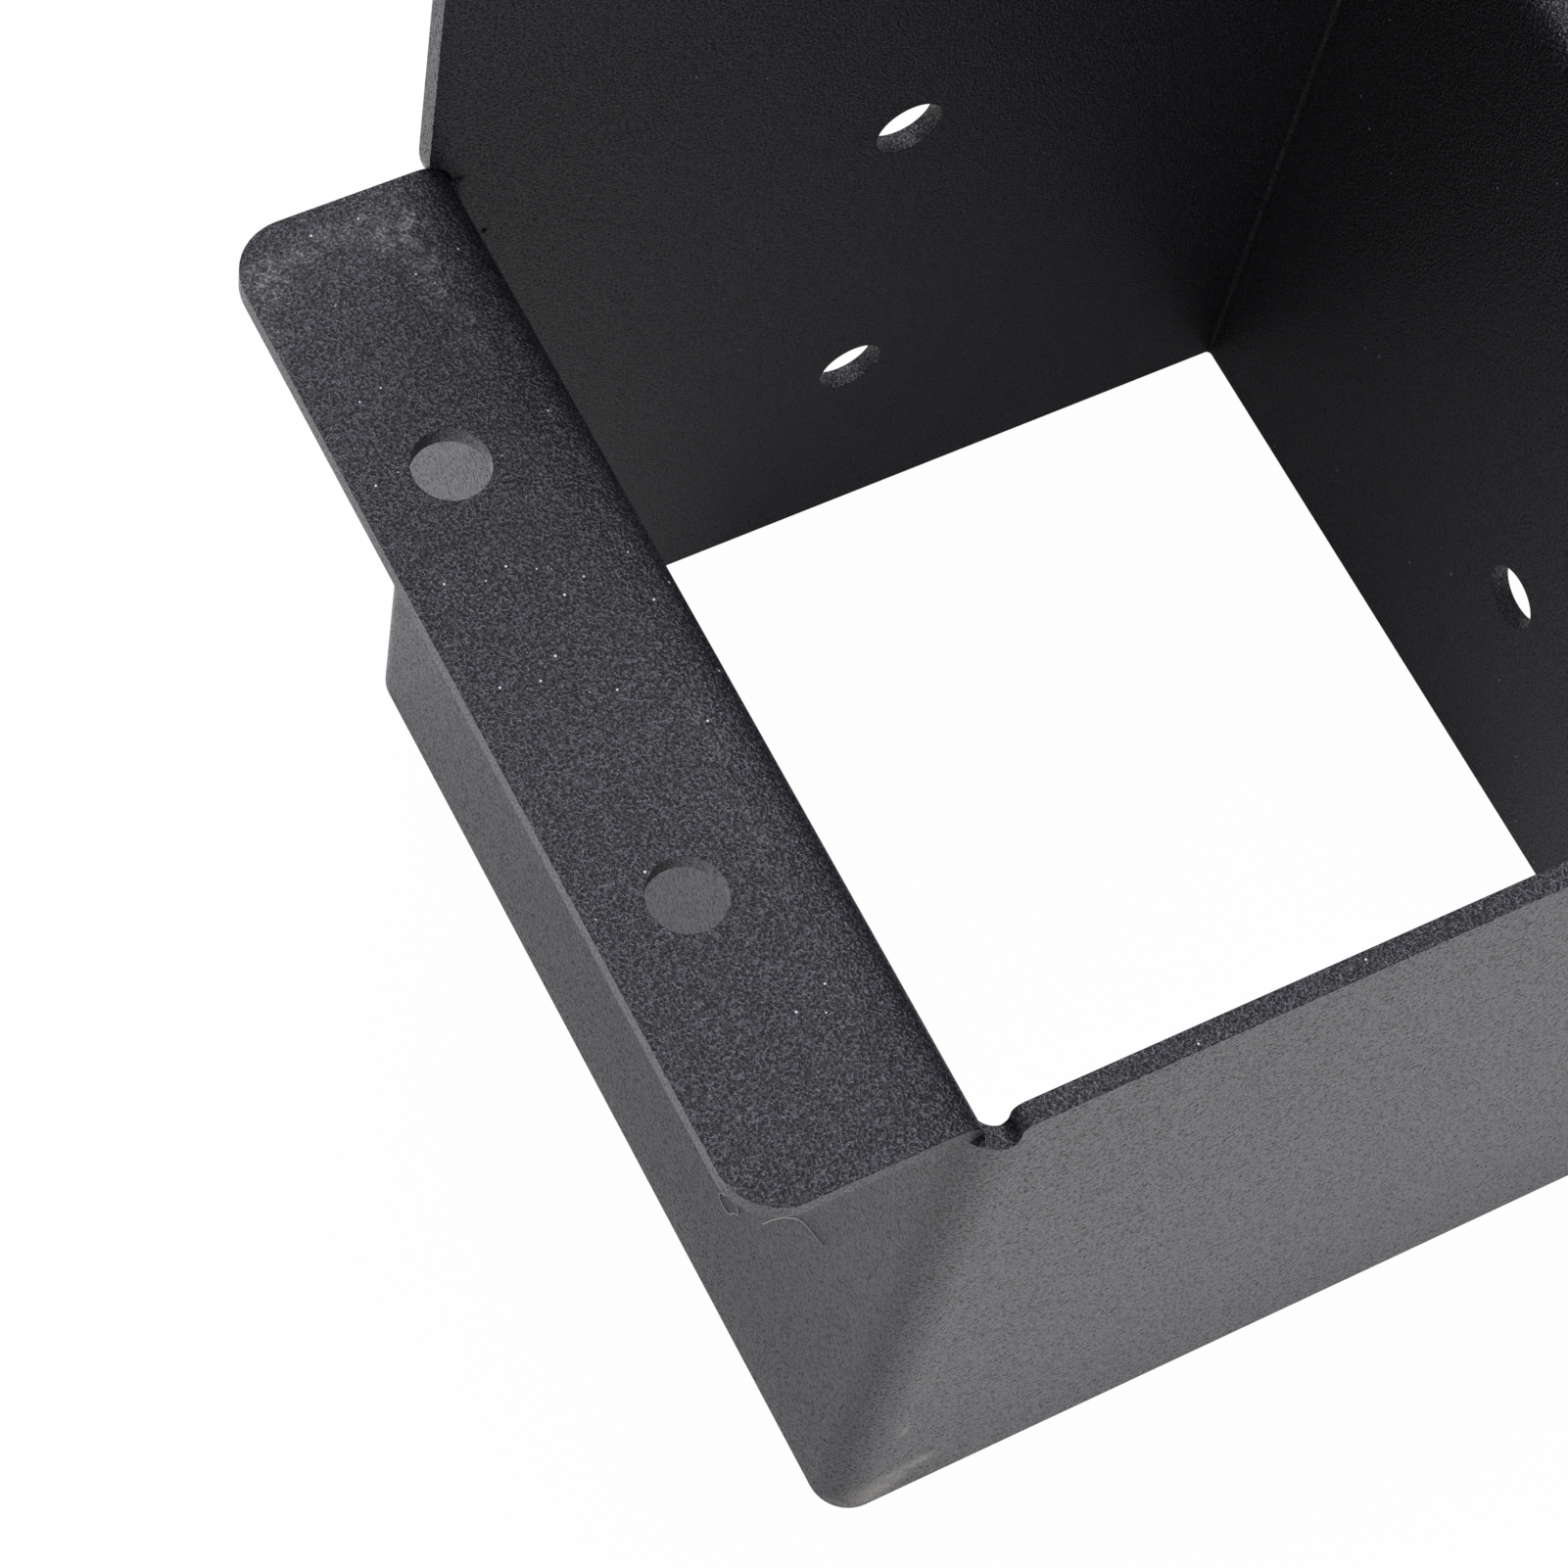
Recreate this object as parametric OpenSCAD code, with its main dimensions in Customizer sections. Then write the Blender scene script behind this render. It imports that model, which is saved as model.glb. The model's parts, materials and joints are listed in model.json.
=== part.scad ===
// Pergola bracket for a 4x4 post, folded from one steel sheet.
// A square socket drops over the post. The beam lies across the socket on two
// flanges folded outward at the seat, against a back plate that rises past it.
// Origin: middle of the socket, on its bottom rim. +Z is up the post, and the
// back plate is on the +Y side. Millimetres.

/* [Post socket] */
// Inner side of the square socket, a post width plus clearance
socket_inner = 90; // [70:1:140]
// Height of the socket, from its bottom rim to the seat of the beam
socket_h = 86; // [84:1:160]

/* [Sheet] */
// Thickness of the coated sheet
sheet_t = 1.9; // [1.2:0.1:3]
// Inside radius of the upright folds
upright_fold_r = 1.8; // [0.8:0.1:4]
// Inside radius of the flange folds
flange_fold_r = 1.1; // [0.8:0.1:3]
// Radius of the free corners of the flanges and of the back plate
free_corner_r = 5; // [1:0.5:7]

/* [Flanges] */
// Reach of a flange, from the inner face of its wall to its free edge
flange_reach = 20; // [18:0.5:40]
// Distance of the flange holes from the inner face of the wall
flange_hole_out = 12; // [10:0.5:13]
// Distance between the two holes of a flange
flange_hole_pitch = 40; // [20:1:56]
// How far each end of a flange runs past the inner face of the wall beside it
flange_past = 0.3; // [0:0.1:0.6]

/* [Back plate] */
// Height of the back plate above the seat
plate_rise = 84; // [80:1:160]
// Radius of the rounds that draw in the foot of the plate at the fold reliefs
foot_r = 8; // [8:0.5:12]
// Height above the seat at which those rounds start
foot_rise = 0.5; // [0:0.5:3]

/* [Screw holes] */
// Diameter of every screw hole
hole_d = 6.4; // [4:0.1:8]
// Height of the lowest holes above the bottom rim
first_hole_z = 26; // [12:1:28]
// Distance between one hole and the next up a wall
wall_hole_pitch = 39; // [20:1:40]
// Number of holes up the back wall and its plate
back_hole_count = 4; // [2:1:4]
// Number of holes up each side wall
side_hole_count = 2; // [1:1:2]
// How far the side holes lie in front of the socket's middle
side_hole_forward = 1.5; // [0:0.5:10]

/* [Fold reliefs] */
// Depth of the notch at the top of each upright fold
relief_depth = 3; // [2:0.5:5]
// How far a notch runs into the front wall, from the wall's inner corner
relief_run = 2; // [2:0.5:5]
// Radius of the round lips and roots at the notches
relief_lip_r = 1; // [0.2:0.1:1]
// Width of the slit that parts the end of a flange from the back plate
slit_w = 0.2; // [0.2:0.1:1]

/* [Corner seam] */
// Radius of the weld's fillet inside the corner where the sheet's ends meet
seam_fillet_r = 0.5; // [0.2:0.1:0.8]
// Width of the groove left outside that corner
seam_w = 0.6; // [0.2:0.1:1]
// Depth of that groove
seam_depth = 0.3; // [0.1:0.1:0.6]

/* [Hidden] */
coat_colour = "#2f2f32";
$fn = 64;

half_in = socket_inner / 2;
half_out = half_in + sheet_t;
upright_outer_r = upright_fold_r + sheet_t;
flange_outer_r = flange_fold_r + sheet_t;
// the upright folds and the flange folds end here, below the seat
fold_top_z = socket_h - max(relief_depth, flange_outer_r);
plate_top_z = socket_h + plate_rise;
front_top_half = half_in - relief_run;
flange_half = half_in + flange_past;
// half the width of a wall between the ends of its two upright folds
straight_half = half_in - upright_fold_r;
// cutters run this far past the faces that they cut
past = 1;

// A quarter disc's complement: what fills a square corner outside a round one.
module corner_fill(r) {
    difference() {
        square(r);
        circle(r);
    }
}

// A square about the origin with rounded corners. The corner at +X +Y, where
// the ends of the sheet meet, has a radius of its own, and 0 leaves it sharp.
module socket_outline(half, r, seam_r) {
    difference() {
        square(2 * half, center = true);
        for (corner = [[-1, 1], [-1, -1], [1, -1]])
            translate([corner[0] * (half - r), corner[1] * (half - r)])
                mirror([corner[0] < 0 ? 1 : 0, 0])
                    mirror([0, corner[1] < 0 ? 1 : 0])
                        corner_fill(r);
        if (seam_r > 0)
            translate([half - seam_r, half - seam_r]) corner_fill(seam_r);
    }
}

// The folded tube, up to where the upright folds end.
module socket_tube() {
    linear_extrude(fold_top_z)
        difference() {
            socket_outline(half_out, upright_outer_r, 0);
            socket_outline(half_in, upright_fold_r, seam_fillet_r);
        }
}

// Outline of an upright sheet face: x from -half to half, up to top, with its
// two top corners rounded.
module upright_outline(half, bottom, top, r) {
    difference() {
        translate([-half, bottom]) square([2 * half, top - bottom]);
        for (side = [-1, 1])
            translate([side * (half - r), top - r])
                mirror([side < 0 ? 1 : 0, 0])
                    corner_fill(r);
    }
}

// A sheet that stands in the XZ plane with its front face at y.
module standing_sheet(y) {
    translate([0, y + sheet_t, 0])
        rotate([90, 0, 0])
            linear_extrude(sheet_t)
                children();
}

// What joins an upright sheet to the straight part of the wall below it.
module wall_root(half) {
    translate([-half, fold_top_z - past]) square([2 * half, 2 * past]);
}

// The top of the front wall: its plain edge at the seat, between two notches
// with round lips and round roots.
module front_wall_top() {
    standing_sheet(-half_out) {
        wall_root(min(straight_half, front_top_half));
        upright_outline(front_top_half, fold_top_z, socket_h, relief_lip_r);
        for (side = [-1, 1])
            translate([side * (front_top_half + relief_lip_r), fold_top_z + relief_lip_r])
                mirror([side > 0 ? 1 : 0, 0])
                    mirror([0, 1])
                        corner_fill(relief_lip_r);
    }
}

// The back wall above the upright folds, and the plate that it becomes.
module back_plate() {
    difference() {
        standing_sheet(half_in) {
            wall_root(straight_half);
            difference() {
                upright_outline(half_out, fold_top_z, plate_top_z, free_corner_r);
                foot_round();
                mirror([1, 0]) foot_round();
            }
        }
        flange_slit();
        mirror([1, 0, 0]) flange_slit();
    }
}

// What the round takes off the foot of the back plate on its +X edge.
module foot_round() {
    translate([half_out - foot_r, socket_h + foot_rise])
        mirror([0, 1])
            corner_fill(foot_r);
}

// The slit around the end of the +X flange, in the foot of the back plate. It
// follows the flange's fold.
module flange_slit() {
    translate([0, half_in + flange_past + slit_w, 0])
        rotate([90, 0, 0])
            linear_extrude(past + flange_past + slit_w)
                fold_quarter(half_in - slit_w, socket_h + slit_w, flange_outer_r + slit_w);
}

// The quarter plane right of x and below z, up to the flange's edge and down to
// the wall's root, with its corner rounded.
module fold_quarter(x, z, r) {
    bottom = fold_top_z - past;
    difference() {
        translate([x, bottom]) square([half_in + flange_reach - x, z - bottom]);
        translate([x + r, z - r]) mirror([1, 0]) corner_fill(r);
    }
}

// Section of a side wall's top and its flange, in XZ, for the +X side.
module flange_section() {
    difference() {
        fold_quarter(half_in, socket_h, flange_outer_r);
        fold_quarter(half_out, socket_h - sheet_t, flange_fold_r);
    }
}

// Plan of a flange: its two free corners are round, for the +X side.
module flange_plan() {
    difference() {
        translate([half_in, -flange_half]) square([flange_reach, 2 * flange_half]);
        for (side = [-1, 1])
            translate([half_in + flange_reach - free_corner_r,
                       side * (flange_half - free_corner_r)])
                mirror([0, side < 0 ? 1 : 0])
                    corner_fill(free_corner_r);
    }
}

// The room of the +X flange: its plan above the notches, and the straight part
// of the wall a little below them.
module flange_room() {
    translate([0, 0, fold_top_z])
        linear_extrude(socket_h - fold_top_z)
            flange_plan();
    translate([half_in, -straight_half, fold_top_z - past])
        cube([sheet_t, 2 * straight_half, 2 * past]);
}

// The flange on the +X side, with its fold and its two holes.
module flange() {
    difference() {
        intersection() {
            translate([0, flange_half, 0])
                rotate([90, 0, 0])
                    linear_extrude(2 * flange_half)
                        flange_section();
            flange_room();
        }
        for (side = [-1, 1])
            translate([half_in + flange_hole_out, side * flange_hole_pitch / 2,
                       socket_h - sheet_t - past])
                cylinder(d = hole_d, h = sheet_t + 2 * past);
    }
}

// Holes through the back wall and its plate, on the middle line.
module back_holes() {
    for (i = [0 : back_hole_count - 1])
        translate([0, half_in - past, first_hole_z + i * wall_hole_pitch])
            rotate([-90, 0, 0])
                cylinder(d = hole_d, h = sheet_t + 2 * past);
}

// Holes through both side walls.
module side_holes() {
    for (side = [-1, 1], i = [0 : side_hole_count - 1])
        translate([side * (half_in + sheet_t / 2), -side_hole_forward,
                   first_hole_z + i * wall_hole_pitch])
            rotate([0, 90, 0])
                cylinder(d = hole_d, h = sheet_t + 2 * past, center = true);
}

// The groove at the sharp corner, where the edge of the +X wall meets the
// inner face of the back wall and is welded to it.
module seam_groove() {
    translate([half_out, half_in, -past])
        linear_extrude(fold_top_z + past)
            polygon([[-seam_depth, 0], [past, seam_w], [past, -seam_w]]);
}

module bracket() {
    color(coat_colour)
        difference() {
            union() {
                socket_tube();
                front_wall_top();
                back_plate();
                flange();
                mirror([1, 0, 0]) flange();
            }
            back_holes();
            side_holes();
            seam_groove();
        }
}

bracket();
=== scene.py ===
# %% [markdown]
# Pergola bracket, dressed.
# The bracket is one sheet of steel, cut, folded into a square socket with two
# flanges and a tall back plate, and coated with black powder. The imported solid
# already has its true folds, notches and holes, so this lesson gives it what a
# solid lacks: softly rounded edges, the coat's fine grain, its wear, and a
# plain white studio. All lengths are in metres, in the solid's own frame.

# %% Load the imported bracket
import json
import math
import bpy
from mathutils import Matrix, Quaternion, Vector

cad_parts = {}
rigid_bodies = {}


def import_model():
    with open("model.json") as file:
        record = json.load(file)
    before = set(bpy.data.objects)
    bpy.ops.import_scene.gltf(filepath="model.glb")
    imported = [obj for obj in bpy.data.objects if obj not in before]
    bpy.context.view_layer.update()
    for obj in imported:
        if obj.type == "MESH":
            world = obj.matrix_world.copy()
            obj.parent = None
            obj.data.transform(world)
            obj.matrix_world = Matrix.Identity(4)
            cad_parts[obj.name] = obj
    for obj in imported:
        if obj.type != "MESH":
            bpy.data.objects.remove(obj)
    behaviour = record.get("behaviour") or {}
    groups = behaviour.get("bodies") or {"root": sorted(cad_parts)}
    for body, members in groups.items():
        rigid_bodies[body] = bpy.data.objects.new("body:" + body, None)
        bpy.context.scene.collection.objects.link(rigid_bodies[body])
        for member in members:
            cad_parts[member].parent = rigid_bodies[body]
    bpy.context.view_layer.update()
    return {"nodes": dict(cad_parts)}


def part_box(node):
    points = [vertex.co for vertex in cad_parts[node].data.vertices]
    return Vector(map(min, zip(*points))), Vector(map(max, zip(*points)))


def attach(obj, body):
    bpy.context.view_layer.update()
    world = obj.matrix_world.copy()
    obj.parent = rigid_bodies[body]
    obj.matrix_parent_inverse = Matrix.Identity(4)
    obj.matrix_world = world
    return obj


for leftover in list(bpy.data.objects):
    bpy.data.objects.remove(leftover)
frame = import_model()
bracket = frame["nodes"]["bracket"]
MM = 0.001
low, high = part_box("bracket")
print("bracket", [round((b - a) / MM, 1) for a, b in zip(low, high)], "mm")

# %% [markdown]
# A few places on the bracket steer everything below. The flanges lie at the
# seat, where the beam rests. Its height can't be read from the box, because the
# back plate goes on past it, so it is given here as the real size that it is.

# %% Places on the bracket
SEAT = Vector((0, 0, 86 * MM))
SHEET = 1.9 * MM
WALL = 46.9 * MM
print("seat at", round(SEAT.z / MM, 1), "mm, plate rises", round((high.z - SEAT.z) / MM, 1), "mm past it")

# %% [markdown]
# Colours are written as a designer reads them off a screen, in sRGB hex. The
# renderer works in linear light, so one function turns them over. A second one
# adds a shader node, with its settings and its links in one line. An input is
# called by its name, or by its number after an underscore where names repeat.

# %% Helpers
def linear(hex_code):
    parts = [int(hex_code[i:i + 2], 16) / 255 for i in (1, 3, 5)]
    return [c / 12.92 if c <= 0.04045 else ((c + 0.055) / 1.055) ** 2.4 for c in parts] + [1.0]


def add(tree, kind, settings=None, **inputs):
    node = tree.nodes.new(kind)
    for name, value in (settings or {}).items():
        setattr(node, name, value)
    for name, value in inputs.items():
        socket = node.inputs[int(name[1:])] if name[1:].isdigit() else node.inputs[name.replace("_", " ")]
        if isinstance(value, bpy.types.NodeSocket):
            tree.links.new(value, socket)
        else:
            socket.default_value = value
    return node


COLOUR = {"data_type": "RGBA"}
WHITE = linear("#ffffff")
print("white in linear light", WHITE)

# %% [markdown]
# The finish is a fine-texture polyester powder coat: pigmented resin, baked
# until it flows, with a grain of about a quarter of a millimetre on a soft wave
# of orange peel. The grain could be carved into the mesh, but at this size that
# would take millions of faces, so a noise pattern in millimetres drives it.

# %% Powder coat: the grain
GRAIN = 0.26
PEEL = 2.6
CROWN_FROM, CROWN_TO = 0.47, 0.68
FOOT_FROM, FOOT_TO = 0.46, 0.32
coat = bpy.data.materials.new("fine_texture_powder_coat")
coat.use_nodes = True
tree = coat.node_tree
tree.nodes.clear()
place = add(tree, "ShaderNodeTexCoord").outputs["Object"]
in_mm = add(tree, "ShaderNodeVectorMath", {"operation": "SCALE"}, _0=place, Scale=1 / MM).outputs[0]
grain = add(tree, "ShaderNodeTexNoise", Vector=in_mm, Scale=1 / GRAIN, Detail=2.0, Roughness=0.55).outputs[0]
crown = add(tree, "ShaderNodeMapRange", _0=grain, _1=CROWN_FROM, _2=CROWN_TO).outputs[0]
foot = add(tree, "ShaderNodeMapRange", _0=grain, _1=FOOT_FROM, _2=FOOT_TO).outputs[0]
peel = add(tree, "ShaderNodeTexNoise", Vector=in_mm, Scale=1 / PEEL, Detail=1.0).outputs[0]
print("coat: a grain of", GRAIN, "mm on a soft wave of", PEEL, "mm")

# %% [markdown]
# Powder melts over a cut edge and leaves it softly round, never knife sharp. A
# bevel in the mesh would break up the long thin triangles between the holes, so
# the coat itself rounds the light across each edge. In the same way it lets a
# flange start to roll over a little before its fold, as bent sheet does.

# %% Powder coat: soft edges and the start of the fold
EDGE_ROUND = 0.15 * MM
ROLL_FROM, ROLL_TO = 46.9, 50.8
ROLL_DEPTH = 0.45 * MM
soft_edge = add(tree, "ShaderNodeBevel", {"samples": 4}, Radius=EDGE_ROUND).outputs[0]
across = add(tree, "ShaderNodeSeparateXYZ", Vector=in_mm).outputs[0]
from_middle = add(tree, "ShaderNodeMath", {"operation": "ABSOLUTE"}, _0=across).outputs[0]
roll = add(tree, "ShaderNodeMapRange", {"interpolation_type": "SMOOTHSTEP"}, _0=from_middle,
           _1=ROLL_FROM, _2=ROLL_TO).outputs[0]
slope = add(tree, "ShaderNodeBump", Height=roll, Strength=1.0, Distance=ROLL_DEPTH, Normal=soft_edge)
rolled = slope.outputs[0]
print("edges rounded to", round(EDGE_ROUND / MM, 2), "mm, flanges rolled from", ROLL_TO, "mm off the middle")

# %% [markdown]
# Each grain is a small hill with a smoother crown and a matt foot, so the coat reads as fine grit. Its
# colour is painted paler on the crowns and near black at the feet: a painted highlight and painted shade of
# the grain's relief. Resin has an IOR near 1.55 and no metal in it.
# Its colour is nearly black, so most of what the eye sees is the grey sheen of
# what surrounds it.

# %% Powder coat: colour, relief and sheen
PEEL_DEPTH, PEEL_STRENGTH = 0.05 * MM, 0.3
GRAIN_DEPTH = 0.22 * MM
FOOT_SHADE_BLACK = linear("#1a1a1d")
CROWN_HIGHLIGHT_GREY = linear("#535259")
SMOOTH, MATT = 0.22, 0.62
DIM_UNDER, BRIGHT_OVER = 0.35, 0.65
DIM, BRIGHT = 0.4, 0.6
waved = add(tree, "ShaderNodeBump", Height=peel, Strength=PEEL_STRENGTH, Distance=PEEL_DEPTH,
            Normal=rolled)
relief = add(tree, "ShaderNodeBump", Height=grain, Strength=1.0, Distance=GRAIN_DEPTH,
             Normal=waved.outputs[0])
rough = add(tree, "ShaderNodeMapRange", _0=foot, _3=SMOOTH, _4=MATT).outputs[0]
gleam = add(tree, "ShaderNodeMapRange", _0=grain, _1=DIM_UNDER, _2=BRIGHT_OVER,
            _3=DIM, _4=BRIGHT).outputs[0]
# Painted highlight and painted shade: the crowns take the paler grey, the feet the near black.
tone = add(tree, "ShaderNodeMix", COLOUR, _0=crown, _6=FOOT_SHADE_BLACK, _7=CROWN_HIGHLIGHT_GREY).outputs[2]
print("coat: roughness", SMOOTH, "on the crowns and", MATT, "at their feet")

# %% [markdown]
# The bracket has been handled. Something pale has rubbed off on the grain, most
# of it on the crowns: along the far end of the left flange and on its bend. At
# the foot of the front fold the smear is a warmer grey. Each rub is an
# ellipsoid about a place on the bracket, in millimetres: its middle, its reach
# and its strength. So it stays where it is from any side. It is at its full
# strength inside a fifth of its reach, and gone at 1.3 times its reach.

# %% Powder coat: where it is rubbed
CHALK_RUBS = [
    ((-63.4, 40.2, 86), (2.6, 2.4, 2), 1.0),
    ((-60.4, 41.7, 86), (2.6, 1.5, 2), 0.8),
    ((-55.6, 42.4, 86), (4.2, 1.2, 2), 0.55),
    ((-51.4, 40.9, 86), (3.0, 2.4, 2), 1.0),
    ((-50.6, 36.0, 86), (2.2, 4.5, 2), 0.6),
    ((-50.4, 30.5, 86), (1.8, 4.0, 2), 0.35),
    ((-64.6, 36.0, 86), (1.0, 3.0, 2), 0.35),
    ((-49.6, 0.0, 86), (1.0, 4.0, 2), 0.2),
    ((-49.4, -8.5, 86), (0.9, 4.5, 2), 0.3),
    ((-49.9, -18.0, 86), (0.8, 6.0, 2), 0.3),
    ((-49.7, -30.0, 86), (0.9, 5.0, 2), 0.2),
]
SMEARS = [
    ((-43.2, -46.9, 2.6), (2.6, 2, 3.1), 1.0),
    ((-41.8, -46.9, 4.6), (2.6, 2, 3.0), 1.0),
    ((-39.2, -46.9, 6.4), (2.3, 2, 1.7), 0.85),
    ((-42.2, -46.9, 18.6), (0.4, 2, 1.7), 0.7),
    ((-45.4, -46.2, 0.8), (1.6, 2, 0.9), 0.7),
]
RIM, HEART = 1.3, 0.2


def rubbed(spots):
    total = 0.0
    for middle, reach, strength in spots:
        off = add(tree, "ShaderNodeVectorMath", {"operation": "SUBTRACT"}, _0=in_mm, _1=middle).outputs[0]
        scaled = add(tree, "ShaderNodeVectorMath", {"operation": "DIVIDE"}, _0=off, _1=reach).outputs[0]
        away = add(tree, "ShaderNodeVectorMath", {"operation": "LENGTH"}, _0=scaled).outputs["Value"]
        spot = add(tree, "ShaderNodeMapRange", {"interpolation_type": "SMOOTHSTEP"}, _0=away,
                   _1=RIM, _2=HEART, _3=0.0, _4=strength).outputs[0]
        total = add(tree, "ShaderNodeMath", {"operation": "MAXIMUM"}, _0=total, _1=spot).outputs[0]
    return total


print("rubs:", len(CHALK_RUBS), "of chalk,", len(SMEARS), "of warm grey")

# %% [markdown]
# Chalk is broken up by scuffs of about a millimetre, and the crowns of the
# grain hold four times as much of it as the feet. The smear is smoother: it was
# wiped on, and only thins out in wisps of about two millimetres.

# %% Powder coat: chalk and smear
SCUFF, SCUFF_FROM, SCUFF_TO = 1.1, 0.4, 0.6
WISP, WISP_FROM, WISP_TO = 2.2, 0.15, 0.55
FOOT_HOLDS = 0.25
CHALK = linear("#9f9e98")
WARM_GREY = linear("#bfb7a8")
TIMES = {"operation": "MULTIPLY"}
scuff = add(tree, "ShaderNodeTexNoise", Vector=in_mm, Scale=1 / SCUFF, Detail=3.0, Roughness=0.7).outputs[0]
broken = add(tree, "ShaderNodeMapRange", _0=scuff, _1=SCUFF_FROM, _2=SCUFF_TO).outputs[0]
hold = add(tree, "ShaderNodeMapRange", _0=crown, _3=FOOT_HOLDS, _4=1.0).outputs[0]
caught = add(tree, "ShaderNodeMath", TIMES, _0=broken, _1=hold).outputs[0]
chalk = add(tree, "ShaderNodeMath", TIMES, _0=rubbed(CHALK_RUBS), _1=caught).outputs[0]
tone = add(tree, "ShaderNodeMix", COLOUR, _0=chalk, _6=tone, _7=CHALK).outputs[2]
wisp = add(tree, "ShaderNodeTexNoise", Vector=in_mm, Scale=1 / WISP, Detail=2.0).outputs[0]
thin = add(tree, "ShaderNodeMapRange", _0=wisp, _1=WISP_FROM, _2=WISP_TO).outputs[0]
smear = add(tree, "ShaderNodeMath", TIMES, _0=rubbed(SMEARS), _1=thin).outputs[0]
tone = add(tree, "ShaderNodeMix", COLOUR, _0=smear, _6=tone, _7=WARM_GREY).outputs[2]
print("chalk in scuffs of", SCUFF, "mm, smear in wisps of", WISP, "mm")

# %% [markdown]
# The back wall has two pits in its coat, painted black for the shade that light gets lost in, and the welded
# corner behind them gets painted shade from its bottom to the seat: a darker colour and a weaker sheen. On
# and beside the front fold, a few places where the coat is thin show a faint red tint. They are ellipsoids
# too, so the function above draws them all.

# %% Powder coat: painted shade and thin places
PITS_AND_CORNER_SHADE = [
    ((-41.2, 45, 73.9), (0.5, 1, 0.6), 1.0),
    ((-36.4, 45, 72.6), (0.35, 1, 0.35), 0.8),
    ((45, 45, 43), (1.0, 1.0, 70), 0.3),
]
THIN_PLACES = [
    ((-46.9, -42.3, 31.6), (1, 0.5, 0.9), 0.9),
    ((-42.2, -46.9, 30.9), (1.2, 1, 2.2), 0.35),
    ((-46.9, -33.5, 45.3), (1, 0.7, 1.6), 0.5),
    ((-24.7, -46.9, 16.4), (2.5, 1, 3.5), 0.3),
]
PAINTED_SHADE_BLACK = linear("#020202")
THIN_RED = linear("#5a3034")
# Painted shade: the pits and the inner corner are drawn darker, and their sheen is weakened.
painted_shade = rubbed(PITS_AND_CORNER_SHADE)
tone = add(tree, "ShaderNodeMix", COLOUR, _0=painted_shade, _6=tone, _7=PAINTED_SHADE_BLACK).outputs[2]
gleam = add(tree, "ShaderNodeMix", _0=painted_shade, _2=gleam, _3=0.0).outputs[0]
tone = add(tree, "ShaderNodeMix", COLOUR, _0=rubbed(THIN_PLACES), _6=tone, _7=THIN_RED).outputs[2]
print("places:", len(PITS_AND_CORNER_SHADE), "dull and", len(THIN_PLACES), "thin")

# %% [markdown]
# Here and there a tiny painted glint, a fifth of a millimetre wide, stands in for a grain of the coat
# mirroring the soft box: a painted highlight in the coat's colour. Beads could be strewn over the faces, but
# the few points of a Voronoi pattern that land in the highest part of its random value cost nothing: one or
# two to a square centimetre on the faces that are turned up to the light, and hardly any on upright ones.

# %% Powder coat: painted glints
GLINT_PITCH = 1.0
GLINT_RADIUS = 0.11
BAR_UPRIGHT, BAR_UP = 0.995, 0.9
PAINTED_GLINT_WHITE = linear("#f2f2f5")
cells = add(tree, "ShaderNodeTexVoronoi", Vector=in_mm, Scale=1 / GLINT_PITCH).outputs
near = add(tree, "ShaderNodeMath", {"operation": "LESS_THAN"}, _0=cells["Distance"],
           _1=GLINT_RADIUS).outputs[0]
luck = add(tree, "ShaderNodeSeparateColor", Color=cells["Color"]).outputs[0]
normal = add(tree, "ShaderNodeNewGeometry").outputs["Normal"]
facing_up = add(tree, "ShaderNodeSeparateXYZ", Vector=normal).outputs[2]
bar = add(tree, "ShaderNodeMapRange", _0=facing_up, _3=BAR_UPRIGHT, _4=BAR_UP).outputs[0]
rare = add(tree, "ShaderNodeMath", {"operation": "GREATER_THAN"}, _0=luck, _1=bar).outputs[0]
# Painted highlight: tiny glints of the soft box, drawn white in the coat's colour.
painted_glint = add(tree, "ShaderNodeMath", TIMES, _0=near, _1=rare).outputs[0]
tone = add(tree, "ShaderNodeMix", COLOUR, _0=painted_glint, _6=tone, _7=PAINTED_GLINT_WHITE).outputs[2]
print("bright grains:", round(100 * (1 - BAR_UP)), "in a hundred cells of",
      GLINT_PITCH, "mm, on the flanges")

# %% [markdown]
# Last, the patterns meet in one shader. The bracket's object takes the coat in
# place of the plain grey that the solid came with, and its mesh stays as it is.

# %% Powder coat: put together
RESIN_IOR = 1.55
skin = add(tree, "ShaderNodeBsdfPrincipled", Base_Color=tone, Roughness=rough, Normal=relief.outputs[0],
           IOR=RESIN_IOR, Specular_IOR_Level=gleam)
add(tree, "ShaderNodeOutputMaterial", Surface=skin.outputs[0])
bracket.material_slots[0].material = coat
print("coat:", len(tree.nodes), "nodes")

# %% [markdown]
# Two fibres of lint cling to the left wall near the front fold. A mesh tube
# would do, but a curve needs only the few places on the wall that it passes, in
# millimetres, and its bevel makes it round. A cotton fibre is about 0.02 mm
# thick, too fine to show, so each is drawn at 0.09 mm. Cotton is pale, with a
# soft shine, and the two shades of its fuzz are patches over the fibre's own
# box, so fine that they blend into one unless seen from very near.

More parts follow.
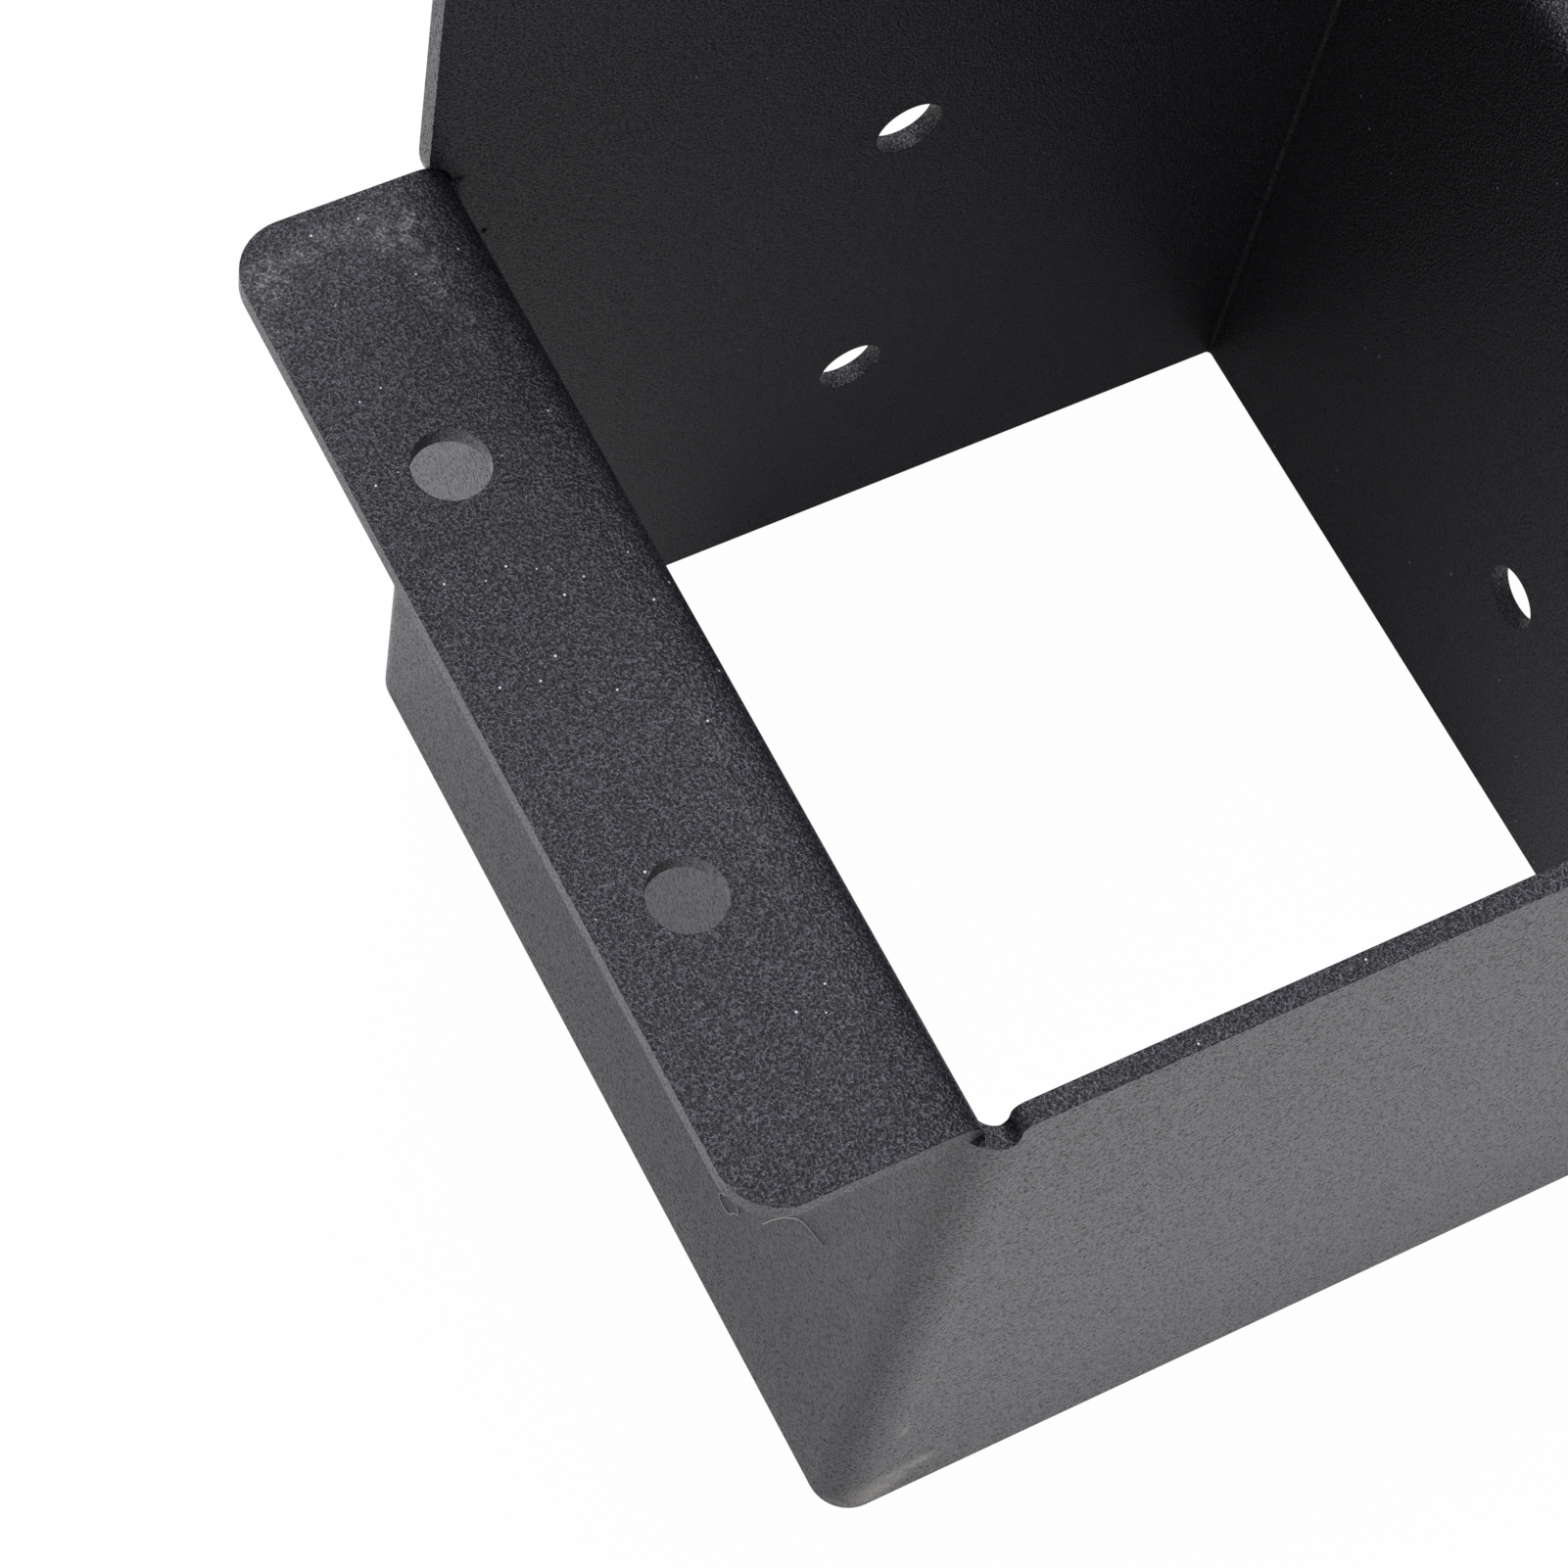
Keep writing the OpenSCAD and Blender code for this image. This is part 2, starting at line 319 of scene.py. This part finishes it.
# %% Lint
FIBRE = 0.09 * MM
FUZZ_PATCHES = 1250
FUZZ_GREY, FUZZ_PALE = linear("#dcdad4"), linear("#fbfaf6")
COTTON_ROUGH, COTTON_IOR = 0.45, 1.55
LOOSE_ENDS = {
    "lint_long": [(-27.6, 26.8), (-29.0, 31.2), (-30.4, 34.7), (-32.1, 37.6), (-33.9, 38.8), (-35.1, 39.4)],
    "lint_curl": [(-22.6, 21.6), (-21.4, 18.7), (-22.8, 18.7), (-23.8, 20.6), (-24.2, 21.2), (-23.9, 22.3)],
}
cotton = bpy.data.materials.new("cotton_lint")
cotton.use_nodes = True
tree = cotton.node_tree
tree.nodes.clear()
fuzz = add(tree, "ShaderNodeTexNoise", Scale=FUZZ_PATCHES).outputs[0]
ecru = add(tree, "ShaderNodeMix", COLOUR, _0=fuzz, _6=FUZZ_GREY, _7=FUZZ_PALE).outputs[2]
thread = add(tree, "ShaderNodeBsdfPrincipled", Base_Color=ecru, Roughness=COTTON_ROUGH,
             IOR=COTTON_IOR, Specular_IOR_Level=1.0)
add(tree, "ShaderNodeOutputMaterial", Surface=thread.outputs[0])
for name, path in LOOSE_ENDS.items():
    line = bpy.data.curves.new(name, "CURVE")
    line.dimensions = "3D"
    line.bevel_depth = FIBRE / 2
    line.bevel_resolution = 2
    spline = line.splines.new("BEZIER")
    spline.bezier_points.add(len(path) - 1)
    for point, (y, z) in zip(spline.bezier_points, path):
        point.co = (-WALL - FIBRE / 2, y * MM, z * MM)
        point.handle_left_type = point.handle_right_type = "AUTO"
    line.materials.append(cotton)
    fibre = bpy.data.objects.new(name, line)
    bpy.context.scene.collection.objects.link(fibre)
    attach(fibre, "root")
print("lint:", len(LOOSE_ENDS), "fibres of", round(FIBRE / MM, 2), "mm")

# %% [markdown]
# The studio is a white sheet under and around the bracket. A curved backdrop
# would do as well, but a sheet that is wide enough fills the view from any side
# and throws its light back up at the bracket evenly.

# %% White floor
FLOOR_HALF = 3.0
bpy.ops.mesh.primitive_plane_add(size=2 * FLOOR_HALF)
floor = bpy.context.object
floor.name = "floor"
paper = bpy.data.materials.new("white_paper_floor")
paper.use_nodes = True
floor.data.materials.append(paper)
tree = paper.node_tree
tree.nodes.clear()
place = add(tree, "ShaderNodeTexCoord").outputs["Object"]
apart = add(tree, "ShaderNodeVectorMath", {"operation": "ABSOLUTE"}, _0=place).outputs[0]
aside, ahead, _ = add(tree, "ShaderNodeSeparateXYZ", Vector=apart).outputs
print("floor", 2 * FLOOR_HALF, "m square at z = 0")

# %% [markdown]
# The coat's sheen mirrors this floor, which is what makes the upright faces
# paler than the flanges. Close to the front wall the floor is a little dimmer,
# and beside the bracket, under its flanges, it is dimmer still. Each share
# grows with the distance from the bracket until the floor is plain white.

# %% White floor: what the sheen sees outside the bracket
SHEEN_FRONT, FRONT_END = 0.58, 61 * MM
SHEEN_SIDE, SIDE_START, SIDE_END = 0.22, WALL + 8 * MM, 74 * MM
BESIDE_START = WALL - 2 * MM
PAST_CORNER = WALL + 20 * MM
front = add(tree, "ShaderNodeMapRange", _0=ahead, _1=WALL, _2=FRONT_END,
            _3=SHEEN_FRONT, _4=1.0).outputs[0]
side = add(tree, "ShaderNodeMapRange", _0=aside, _1=SIDE_START, _2=SIDE_END,
           _3=SHEEN_SIDE, _4=1.0).outputs[0]
beside = add(tree, "ShaderNodeMapRange", _0=aside, _1=BESIDE_START, _2=SIDE_START).outputs[0]
fading = add(tree, "ShaderNodeMapRange", _0=ahead, _1=WALL, _2=PAST_CORNER, _3=1.0, _4=0.0).outputs[0]
beside = add(tree, "ShaderNodeMath", TIMES, _0=beside, _1=fading).outputs[0]
lit = add(tree, "ShaderNodeMix", _0=beside, _2=front, _3=side).outputs[0]
print("sheen from", SHEEN_FRONT, "in front and", SHEEN_SIDE, "beside, up to 1")

# %% [markdown]
# Inside the socket the floor is almost dark, because the walls keep the light
# out. The soft box reaches only its near left part, so the share falls across
# the socket from that corner to the far right one.

# %% White floor: what the sheen sees inside the socket
SHEEN_NEAR, SHEEN_FAR = 0.28, 0.02
NEAR_END, FAR_START = 14 * MM, 38 * MM
widest = add(tree, "ShaderNodeMath", {"operation": "MAXIMUM"}, _0=aside, _1=ahead).outputs[0]
outside = add(tree, "ShaderNodeMath", {"operation": "GREATER_THAN"}, _0=widest,
              _1=WALL - SHEET / 2).outputs[0]
slant = add(tree, "ShaderNodeVectorMath", {"operation": "DOT_PRODUCT"}, _0=place,
            _1=(1, 1, 0)).outputs["Value"]
inside = add(tree, "ShaderNodeMapRange", _0=slant, _1=NEAR_END, _2=FAR_START,
             _3=SHEEN_NEAR, _4=SHEEN_FAR).outputs[0]
lit = add(tree, "ShaderNodeMix", _0=outside, _2=inside, _3=lit).outputs[0]
print("sheen from", SHEEN_NEAR, "to", SHEEN_FAR, "inside the socket")

# %% [markdown]
# The camera sees the floor as plain white, with only a breath of the bracket's
# own shadow. All other light meets matt paper, so the white gives the bracket
# nothing but its mirror image in the sheen.

# %% White floor: put together
CAMERA_WHITE = 0.985
COOL_WHITE = linear("#fcfcff")
PAPER_WHITE = linear("#ebebeb")
matt = add(tree, "ShaderNodeBsdfDiffuse", Color=PAPER_WHITE).outputs[0]
ray = add(tree, "ShaderNodeLightPath").outputs
shade = add(tree, "ShaderNodeMix", COLOUR, _0=ray["Is Camera Ray"], _6=COOL_WHITE, _7=WHITE).outputs[2]
glow = add(tree, "ShaderNodeEmission", Color=shade, Strength=1.0).outputs[0]
by_camera = add(tree, "ShaderNodeMath", TIMES, _0=ray["Is Camera Ray"], _1=CAMERA_WHITE).outputs[0]
by_sheen = add(tree, "ShaderNodeMath", TIMES, _0=ray["Is Glossy Ray"], _1=lit).outputs[0]
share = add(tree, "ShaderNodeMath", {"operation": "MAXIMUM"}, _0=by_camera, _1=by_sheen).outputs[0]
paper_look = add(tree, "ShaderNodeMixShader", _0=share, _1=matt, _2=glow)
add(tree, "ShaderNodeOutputMaterial", Surface=paper_look.outputs[0])
print("floor: the camera sees", CAMERA_WHITE, "of plain white")

# %% [markdown]
# Light comes from a room that is brightest overhead and from one soft box, high
# up behind the bracket, where the flanges mirror it towards the lens. The grain
# breaks that mirror image up, and past the flange's bend it falls off to black.
# Both lights are a little cooler than the paper, as daylight lamps are. The room
# is dim up to 24 degrees above the horizon and at its brightest from 72 up. What
# the pattern reads is a direction's height, which is the sine of that angle.

# %% White room
OVERHEAD = 0.64
HORIZON = 0.16
DIM_TO, BRIGHT_FROM = 0.4, 0.95
DAYLIGHT = linear("#f7f5ff")
world = bpy.data.worlds.new("white room")
bpy.context.scene.world = world
world.use_nodes = True
tree = world.node_tree
tree.nodes.clear()
towards = add(tree, "ShaderNodeTexCoord").outputs["Generated"]
height = add(tree, "ShaderNodeSeparateXYZ", Vector=towards).outputs[2]
level = add(tree, "ShaderNodeMapRange", _0=height, _1=DIM_TO, _2=BRIGHT_FROM,
            _3=HORIZON, _4=OVERHEAD).outputs[0]
room = add(tree, "ShaderNodeBackground", Color=DAYLIGHT, Strength=level).outputs[0]
white = add(tree, "ShaderNodeBackground", Color=WHITE, Strength=1.0).outputs[0]
seen = add(tree, "ShaderNodeLightPath").outputs["Is Camera Ray"]
around = add(tree, "ShaderNodeMixShader", _0=seen, _1=room, _2=white)
add(tree, "ShaderNodeOutputWorld", Surface=around.outputs[0])
print("room:", OVERHEAD, "overhead and", HORIZON, "at the horizon")

# %% [markdown]
# The soft box is a square panel of 0.6 m. A small lamp would give hard, bright
# points on the grain, while a panel of this size leaves an even gleam.

# %% Soft box
BOX_AT = Vector((0.12, 0.5, 1.4))
BOX_WIDTH = 0.6
BOX_WATTS = 12.5
lamp = bpy.data.objects.new("soft box above", bpy.data.lights.new("soft box above", "AREA"))
lamp.data.shape = "SQUARE"
lamp.data.size = BOX_WIDTH
lamp.data.energy = BOX_WATTS
lamp.data.color = DAYLIGHT[:3]
lamp.location = BOX_AT
lamp.rotation_euler = (SEAT - BOX_AT).to_track_quat("-Z", "Y").to_euler()
bpy.context.scene.collection.objects.link(lamp)
print("soft box:", BOX_WATTS, "W,", round((SEAT - BOX_AT).length, 2), "m from the seat")

# %% [markdown]
# The photograph was taken from close by, in front of the bracket's left side
# and well above it, and slightly turned. The camera is given as a photographer
# would note it: where it stands, what it points at, its roll and its lens.

# %% Camera
CAMERA_AT = Vector((-155.3, -141.8, 406.2)) * MM
CAMERA_AIM = Vector((-46.2, -14.8, 86.0)) * MM
CAMERA_ROLL = math.radians(14.77)
LENS_MM = 111.0
SENSOR_MM = 36
camera = bpy.data.objects.new("camera", bpy.data.cameras.new("camera"))
camera.data.sensor_fit = "HORIZONTAL"
camera.data.sensor_width = SENSOR_MM
camera.data.lens = LENS_MM
camera.data.clip_start = 0.01
camera.location = CAMERA_AT
unrolled = (CAMERA_AIM - CAMERA_AT).to_track_quat("-Z", "Y")
camera.rotation_mode = "QUATERNION"
camera.rotation_quaternion = unrolled @ Quaternion((0, 0, 1), CAMERA_ROLL)
bpy.context.scene.collection.objects.link(camera)
bpy.context.scene.camera = camera
print("camera", round((CAMERA_AIM - CAMERA_AT).length, 3), "m from what it points at")

# %% [markdown]
# Last, the look is set to plain sRGB.

# %% Finish
bpy.context.scene.view_settings.view_transform = "Standard"
